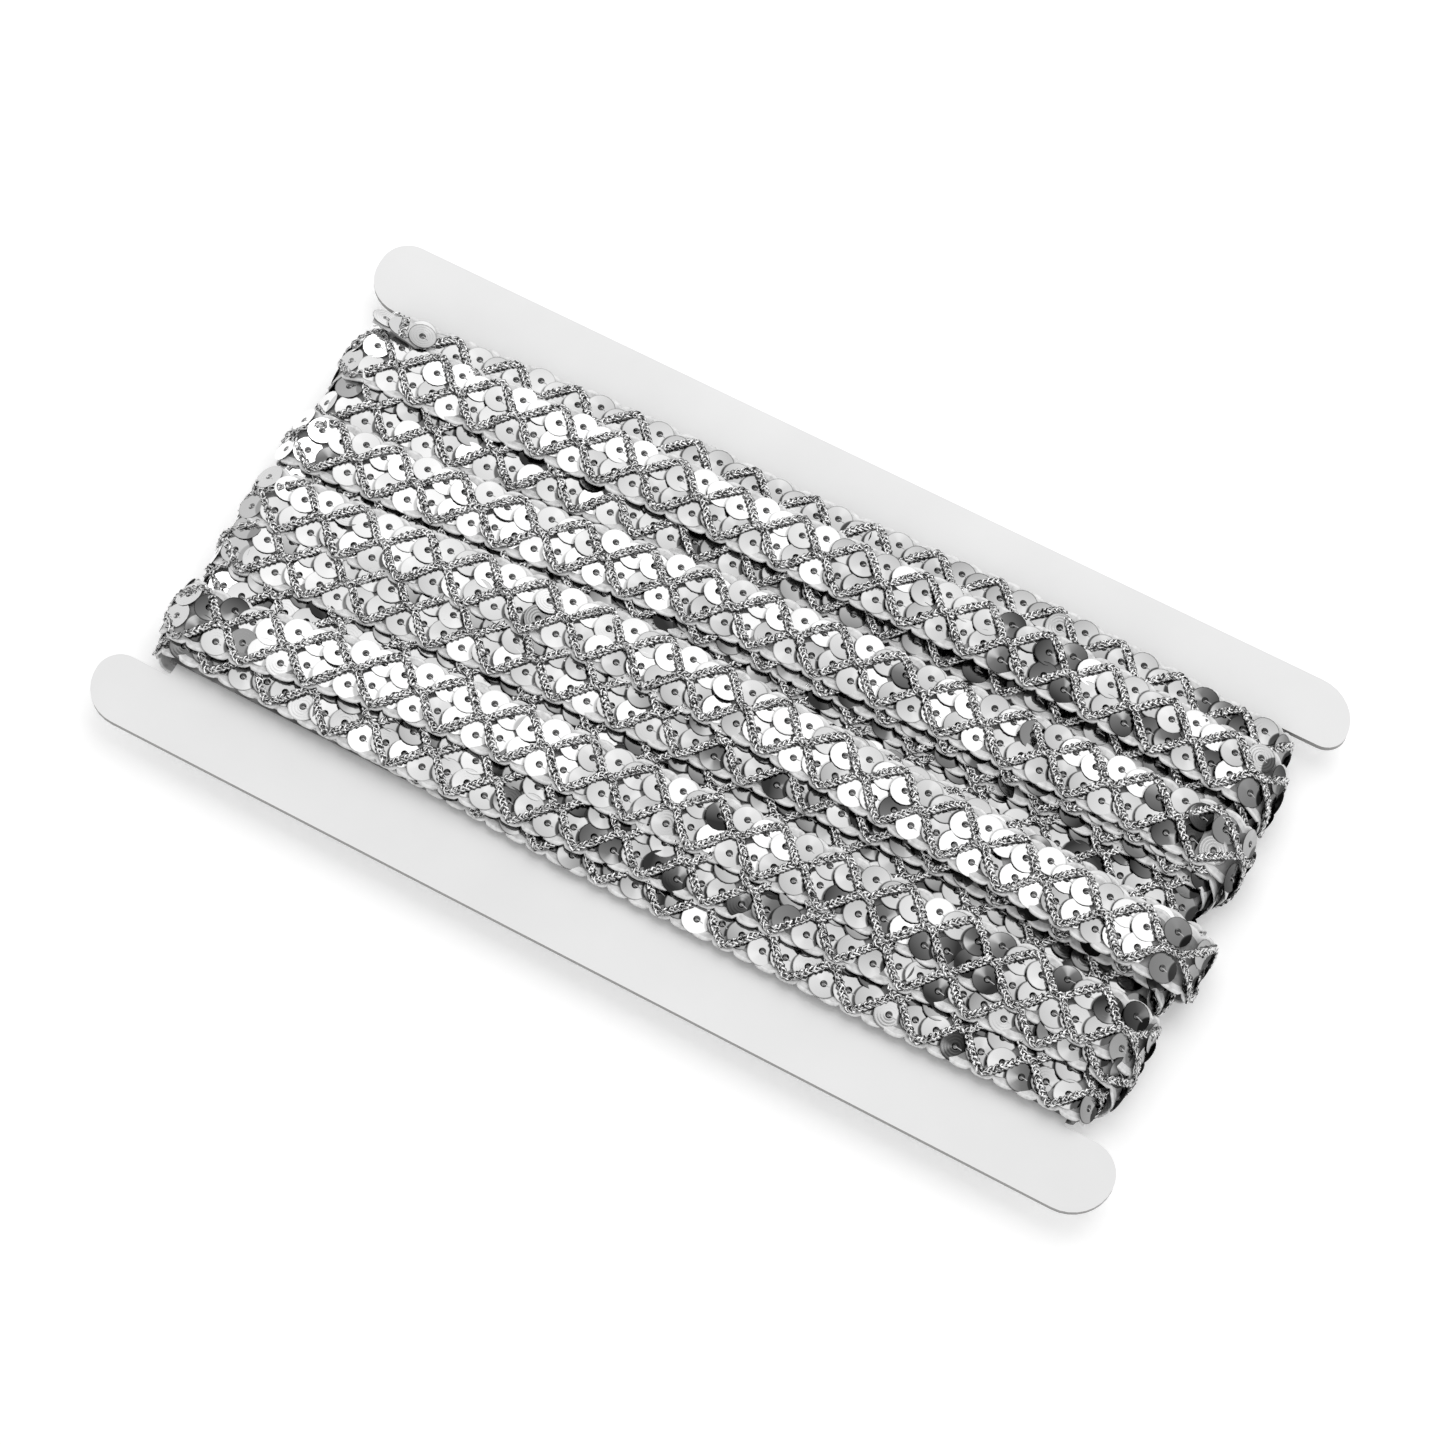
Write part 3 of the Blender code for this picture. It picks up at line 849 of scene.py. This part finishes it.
def tape_rings(run, along):
    """The tape's section at each distance: its two edges swell out in a petal for each sequin."""
    cycle = (along - run["phase"]) / pitch_of(run)
    edges = {
        "near": -(TAPE_HALF + SCALLOP["near"] * petals(cycle)),
        "far": TAPE_HALF + SCALLOP["far"] * petals(cycle + 0.4),
    }
    inward = {"near": 1, "far": -1}
    sides = []
    for corner in TAPE_SECTION:
        across = edges[corner["edge"]] + inward[corner["edge"]] * corner["inset"]
        sides.append(place_points(run, along, across, np.full_like(along, corner["height"])))
    return np.stack(sides, axis=1)


def tube_quads(rings, sides, start, closed):
    """Faces that join rings of points into a tube."""
    ring = np.arange(rings if closed else rings - 1)
    side = np.arange(sides)
    a = start + ring[:, None] * sides + side[None, :]
    b = start + ring[:, None] * sides + (side[None, :] + 1) % sides
    c = start + ((ring[:, None] + 1) % rings) * sides + (side[None, :] + 1) % sides
    d = start + ((ring[:, None] + 1) % rings) * sides + side[None, :]
    return np.stack([a, d, c, b], axis=-1).reshape(-1, 4)


def build_tape(name, runs, material):
    """The ground tape of some runs, each a closed loop."""
    points, quads = [], []
    start = 0
    for run in runs:
        steps = TAPE_STEPS * SEQUINS_IN_DIAMOND * diamond_count(run)
        along = run["phase"] + np.arange(steps) * loop_length(run) / steps
        rings = tape_rings(run, along)
        points.append(rings.reshape(-1, 3))
        quads.append(tube_quads(steps, len(TAPE_SECTION), start, True))
        start += rings.shape[0] * rings.shape[1]
    obj = mesh_from_quads(name, np.concatenate(points), np.concatenate(quads), material)
    lights = np.array([corner["light"] for corner in TAPE_SECTION])
    set_tones(obj.data, np.tile(lights, len(obj.data.polygons) // len(lights)))
    obj.data.shade_smooth()
    return finish_piece(obj)


def swing(cycle):
    """How far a yarn has swung to its side, -1 to 1, at a number of diamonds along its run.

    It dwells at the crossings, and is steep between them and the peaks.
    """
    reach = 1 - np.abs(2 * np.mod(cycle, 1.0) - 1)
    reach = np.clip((reach - YARN_DWELL) / (1 - YARN_DWELL), 0, 1)
    side = np.where(np.mod(np.floor(cycle), 2) < 1, 1.0, -1.0)
    return side * ((1 - YARN_ROUNDING) * reach + YARN_ROUNDING * np.sin(reach * math.pi / 2))


def yarn_path(run, side, step):
    """A yarn's line: it swings from edge to edge, over the sequins, and meets the other mid-way."""
    along = np.arange(0, loop_length(run), step)
    diamond = pitch_of(run) * SEQUINS_IN_DIAMOND
    across = side * YARN_HALF * swing((along - run["phase"]) / diamond)
    reach = np.abs(across) / YARN_HALF
    lift = 0.45 + 0.85 * (1 - reach**4) + side * 0.2 * (1 - reach) ** 2
    return along, across, lift


def new_yarn():
    """An empty list of strands: their points, faces, and places on the faces' corners."""
    return {"points": [], "quads": [], "places": [], "start": 0}


def add_strand(yarn, line, outward, length):
    """A four-sided tube along a line, closed at both ends, with its seam underneath."""
    rings = len(line)
    forward = np.gradient(line, axis=0)
    forward /= np.linalg.norm(forward, axis=1, keepdims=True)
    sideways = np.cross(outward, forward)
    sideways /= np.linalg.norm(sideways, axis=1, keepdims=True)
    upward = np.cross(forward, sideways)
    turns = 2 * math.pi * (np.arange(STRAND_SIDES) / STRAND_SIDES - 0.375)
    tube = line[:, None] + STRAND_RADIUS * (
        sideways[:, None] * np.cos(turns)[:, None] + upward[:, None] * np.sin(turns)[:, None]
    )
    sides = tube_quads(rings, STRAND_SIDES, 0, False)[:, ::-1]
    last = (rings - 1) * STRAND_SIDES
    caps = np.array([[0, 1, 2, 3], [last + 3, last + 2, last + 1, last]])
    round_it = np.arange(STRAND_SIDES + 1) * 2 * math.pi * STRAND_RADIUS / STRAND_SIDES
    low, high = np.meshgrid(length[:-1], round_it[:-1], indexing="ij")
    past, over = np.meshgrid(length[1:], round_it[1:], indexing="ij")
    corners = np.stack([low, over, past, over, past, high, low, high], axis=-1).reshape(-1, 4, 2)
    ends = np.repeat([[length[0], 0.0], [length[-1], 0.0]], 4, axis=0).reshape(2, 4, 2)
    yarn["points"].append(tube.reshape(-1, 3))
    yarn["quads"].append(np.concatenate([sides, caps]) + yarn["start"])
    yarn["places"].append(np.concatenate([corners, ends]))
    yarn["start"] += rings * STRAND_SIDES


def plait(yarn, points, outward, strands, shown):
    """Adds the strands of one yarn, twisted about its line, wherever it shows."""
    forward = np.gradient(points, axis=0)
    length = np.cumsum(np.linalg.norm(forward, axis=1))
    forward /= np.linalg.norm(forward, axis=1, keepdims=True)
    sideways = np.cross(outward, forward)
    for strand in range(strands):
        turn = (2 * math.pi * (length / PLAIT_LENGTH + strand / strands))[:, None]
        line = points + sideways * STRAND_SIDE * np.sin(turn)
        line = line + outward * STRAND_RISE * np.sin(2 * turn)
        line[:, 2] = np.maximum(line[:, 2], STRAND_RADIUS)
        flecks = length + random.uniform(0, 500)
        for first, past in stretches(shown):
            if past - first >= 4:
                add_strand(yarn, line[first:past], outward[first:past], flecks[first:past])


def yarn_mesh(name, yarn, material):
    quads = np.concatenate(yarn["quads"])
    obj = mesh_from_quads(name, np.concatenate(yarn["points"]), quads, material)
    places = np.concatenate(yarn["places"]).astype(np.float32)
    obj.data.uv_layers.new(name="strand").data.foreach_set("uv", places.ravel())
    obj.data.shade_smooth()
    return finish_piece(obj)


def build_yarn(name, runs, stages, material, step, strands):
    """The metal yarns of some runs, each a plait of strands."""
    yarn = new_yarn()
    for run in runs:
        for side in (1, -1):
            along, across, lift = yarn_path(run, side, step)
            stage = route(run, along)["stage"]
            shown = (stage >= stages[0]) & (stage < stages[1])
            shown &= ~(covered(run, along, across - 0.6, 0.1) & covered(run, along, across + 0.6, 0.1))
            points = place_points(run, along, across, lift)
            plait(yarn, points, run_axes(run, along)[2], strands, shown)
    return yarn_mesh(name, yarn, material)


def inner_depth(spot, across):
    """How high the inner turns lie at a width: they fill the space under the lowest run there."""
    filled = np.zeros(len(spot["stage"]), bool)
    depth = np.full(len(spot["stage"]), BAND_HEIGHT)
    for run in RUNS:
        middle, height = middle_and_height(run, spot)
        off = np.abs(across - middle)
        filled |= off < TAPE_HALF - 0.4
        depth = np.where(off < TAPE_HALF + 2.2, np.minimum(depth, height - BRAID_DEPTH - 0.5), depth)
    return np.maximum(np.where(filled, depth, 0.0), INNER_DEPTH)


def build_inner_turns(material):
    """The turns further in: a ring that fills the space under the runs and closes the furrows."""
    stages = np.linspace(0, 4, 121)[:-1]
    spot = locate(stages)
    widths = np.linspace(-45.5, 45.5, 61)
    depths = np.stack([inner_depth(spot, width) for width in widths], axis=-1)
    wall = 0.35 + HALF_CARD
    rings = []
    for index in range(len(stages)):
        cos, sin = math.cos(spot["angle"][index]), math.sin(spot["angle"][index])
        x = spot["place"][index] * WAIST_HALF
        reaches = depths[index] + HALF_CARD
        outer = [(x + r * cos, y, CARD_MIDDLE + r * sin) for r, y in zip(reaches, widths)]
        inner = [(x + wall * cos, y, CARD_MIDDLE + wall * sin) for y in (widths[-1], widths[0])]
        rings.append(outer + inner)
    rings = np.array(rings)
    quads = tube_quads(rings.shape[0], rings.shape[1], 0, True)
    obj = mesh_from_quads("inner_turns", rings.reshape(-1, 3), quads, material)
    return finish_piece(obj)


# The cut end: a short piece of braid that lies on the first run and reaches out over the left
# turn. Its near side is folded under, and its free end dips to the far side. Its fold line is
# given as (across, height), from the far edge over the top and back underneath.
CUT_END_FOLD = (
    (3.2, 0.0),
    (1.6, 0.05),
    (0.0, 0.08),
    (-1.2, 0.06),
    (-2.0, 0.0),
    (-2.4, -0.2),
    (-2.4, -0.5),
    (-2.0, -0.7),
    (-0.6, -0.72),
    (1.6, -0.72),
)
# The painted light on the cut end's upward faces, and the painted shade on its fold
CUT_END_LIGHT = {"top": 0.8, "fold": 0.22}
CUT_END_CLOTH = 0.28
CUT_END_FLAT = (0.014, 0.010)
CUT_END_STEPS = 24
CUT_END_DIP_DEG = 37.0
CUT_END_DIP_LENGTH = 17.0
# How far it has slipped out of its block, and how deep its other end is tucked under the first run
CUT_END_SLIP = (0.8, -1.3, -0.9)
CUT_END_TUCK = 1.3
# Its sequins from the free end: distance from it, across, tone
CUT_END_SEQUINS = ((2.5, -0.1, 0.86), (6.3, 0.1, 1.0), (10.9, 0.4, 0.54))
CUT_END_YARN = ((5.4, 3.3), (7.8, -2.6))


def cut_end_points(along, across, height):
    """Points of the cut end at a distance from its free end, across it and over its cloth."""
    low, high = (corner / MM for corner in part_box("trim_cut_end"))
    length = high.x - low.x
    part = along / length
    dip = math.radians(CUT_END_DIP_DEG) * ease(np.clip(1 - along / CUT_END_DIP_LENGTH, 0, 1))
    rise = (high.z - low.z) * 0.4 * (1 - part)
    x = low.x + CUT_END_SLIP[0] + along
    y = (low.y + high.y) / 2 + CUT_END_SLIP[1] + across * np.cos(dip) + height * np.sin(dip)
    z = low.z + 1.0 + CUT_END_SLIP[2] + rise + height * np.cos(dip) - across * np.sin(dip)
    return np.stack(np.broadcast_arrays(x, y, z), axis=-1)


def build_cut_end_tape(material):
    length = CUT_END_FLAT[0] / MM
    along = np.linspace(0, length, CUT_END_STEPS)
    fold = np.array(CUT_END_FOLD)
    corner = np.clip(1 - along / 2.0, 0, 1) ** 2
    rings = []
    for across, height in fold:
        rings.append(cut_end_points(along + corner * abs(across) * 0.3, across, height))
    points = np.stack(rings, axis=1)
    points[..., 2] -= CUT_END_TUCK * ease(np.clip((along / length - 0.6) / 0.4, 0, 1))[:, None]
    sides = len(fold)
    ring, side = np.meshgrid(np.arange(CUT_END_STEPS - 1), np.arange(sides - 1), indexing="ij")
    first = ring * sides + side
    quads = np.stack([first, first + sides, first + sides + 1, first + 1], axis=-1).reshape(-1, 4)
    obj = mesh_from_quads("cut_end_tape", points.reshape(-1, 3), quads, material)
    deselect_all()
    obj.select_set(True)
    bpy.context.view_layer.objects.active = obj
    wall = obj.modifiers.new("cloth", "SOLIDIFY")
    wall.thickness = CUT_END_CLOTH * MM
    wall.offset = 0.0
    bpy.ops.object.modifier_apply(modifier=wall.name)
    upward = np.array([face.normal.z > 0.5 for face in obj.data.polygons])
    set_tones(obj.data, np.where(upward, CUT_END_LIGHT["top"], CUT_END_LIGHT["fold"]))
    obj.data.shade_smooth()
    return finish_piece(obj)


def build_cut_end(tape, sequin_film, yarn, thread):
    """The cut end's tape, with the sequins, stitches and yarn ends that show on it."""
    cloth = build_cut_end_tape(tape)
    length = CUT_END_FLAT[0] / MM
    along, across, tones = np.array(CUT_END_SEQUINS).T
    centres = cut_end_points(along, across, 0.5)
    ahead = cut_end_points(along + 0.1, across, 0.5) - centres
    ahead /= np.linalg.norm(ahead, axis=1, keepdims=True)
    aside = cut_end_points(along, across + 0.1, 0.5) - centres
    aside /= np.linalg.norm(aside, axis=1, keepdims=True)
    lean = math.radians(SHINGLE_DEG)
    outward = np.cross(ahead, aside)
    axes = np.stack(
        [ahead * math.cos(lean) - outward * math.sin(lean), aside, outward * math.cos(lean) + ahead * math.sin(lean)],
        axis=1,
    )
    ways = np.stack([np.diff(along, append=along[-1] + length), np.diff(across, append=0.0)], axis=-1)
    sewn = (centres, axes, tones, ways)
    sequins = build_sequins("cut_end_sequins", sewn, sequin_film)
    stitches = build_stitches("cut_end_stitches", sewn, thread)
    start, end = np.array(CUT_END_YARN)
    part = np.linspace(0, 1, 30)
    along, across = (start + (end - start) * part[:, None]).T
    points = cut_end_points(along, across, 0.95 - 0.5 * np.abs(2 * part - 1) ** 3)
    aside = cut_end_points(along, across + 0.1, 0.9) - cut_end_points(along, across, 0.9)
    outward = np.cross(np.broadcast_to([1.0, 0.0, 0.0], aside.shape), aside)
    outward /= np.linalg.norm(outward, axis=1, keepdims=True)
    strands = new_yarn()
    plait(strands, points, outward, 3, np.ones(len(part), bool))
    ends = yarn_mesh("cut_end_yarn", strands, yarn)
    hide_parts("trim_cut_end")


# The camera, the light and the floor

PHOTO_SIDE = 1445
CAMERA_FOCUS = 3600.0
CAMERA_AZIMUTH = 25.0398
CAMERA_ELEVATION = 63.8797
CAMERA_ROLL = 3.7164
CAMERA_AIM = (2.252, -4.237)
CAMERA_DISTANCE = 709.27
SENSOR_WIDTH = 36.0


def add_camera():
    """The photograph's view: its azimuth, elevation, roll and distance, from the card's corners."""
    azimuth, elevation = math.radians(CAMERA_AZIMUTH), math.radians(CAMERA_ELEVATION)
    back = Vector(
        (
            math.sin(azimuth) * math.cos(elevation),
            -math.cos(azimuth) * math.cos(elevation),
            math.sin(elevation),
        )
    )
    aim = Vector((CAMERA_AIM[0] * MM, CAMERA_AIM[1] * MM, card_high.z))
    data = bpy.data.cameras.new("camera")
    data.sensor_width = SENSOR_WIDTH
    data.lens = SENSOR_WIDTH * CAMERA_FOCUS / PHOTO_SIDE
    data.clip_start = 0.05
    camera = bpy.data.objects.new("camera", data)
    bpy.context.scene.collection.objects.link(camera)
    turn = (-back).to_track_quat("-Z", "Y").to_matrix().to_4x4()
    right = turn.col[0].xyz
    above = turn.col[1].xyz
    roll = math.radians(CAMERA_ROLL)
    turn.col[0].xyz = right * math.cos(roll) + above * math.sin(roll)
    turn.col[1].xyz = above * math.cos(roll) - right * math.sin(roll)
    turn.translation = aim + back * CAMERA_DISTANCE * MM
    camera.matrix_world = turn
    bpy.context.scene.camera = camera


# The studio: an even white surround and one large softbox behind the top, in metres
WORLD_STRENGTH = 0.7
SOFTBOX_DIRECTION = (0.0, 0.45, 0.9)
SOFTBOX_DISTANCE = 1.0
SOFTBOX_SIZE = (1.0, 0.9)
SOFTBOX_POWER = 3.8


def add_studio():
    world = bpy.data.worlds.new("studio")
    world.use_nodes = True
    background = world.node_tree.nodes["Background"]
    background.inputs["Color"].default_value = (1.0, 1.0, 1.0, 1.0)
    background.inputs["Strength"].default_value = WORLD_STRENGTH
    bpy.context.scene.world = world
    data = bpy.data.lights.new("softbox", "AREA")
    data.shape = "RECTANGLE"
    data.size, data.size_y = SOFTBOX_SIZE
    data.energy = SOFTBOX_POWER
    light = bpy.data.objects.new("softbox", data)
    bpy.context.scene.collection.objects.link(light)
    light.location = Vector(SOFTBOX_DIRECTION).normalized() * SOFTBOX_DISTANCE
    light.rotation_euler = (-light.location).to_track_quat("-Z", "Y").to_euler()
    bpy.ops.mesh.primitive_plane_add(size=6.0)
    floor = bpy.context.active_object
    floor.name = "floor"
    floor.data.materials.append(pale_floor())
    bpy.context.scene.view_settings.view_transform = "Standard"


def main():
    add_camera()
    add_studio()
    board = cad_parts["display_card"]
    board.data.materials.clear()
    board.data.materials.append(white_board())
    sequin_film = silvered_sequin_film()
    yarn = metal_yarn()
    tape = ground_tape()
    thread = sewing_thread()
    inner = build_inner_turns(inner_braid())
    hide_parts("wound_trim")
    for half, runs in (("far", RUNS[:7]), ("near", RUNS[7:])):
        build_tape(f"ground_tape_{half}", runs, tape)
        sewn = sewn_sequins(runs)
        build_sequins(f"sequins_{half}", sewn, sequin_film)
        build_stitches(f"stitches_{half}", sewn, thread)
        build_yarn(f"yarn_{half}", runs, (0, 2), yarn, 0.36, 3)
    build_yarn("yarn_under", RUNS, (2, 4), yarn, 0.5, 2)
    build_cut_end(tape, sequin_film, yarn, thread)


main()
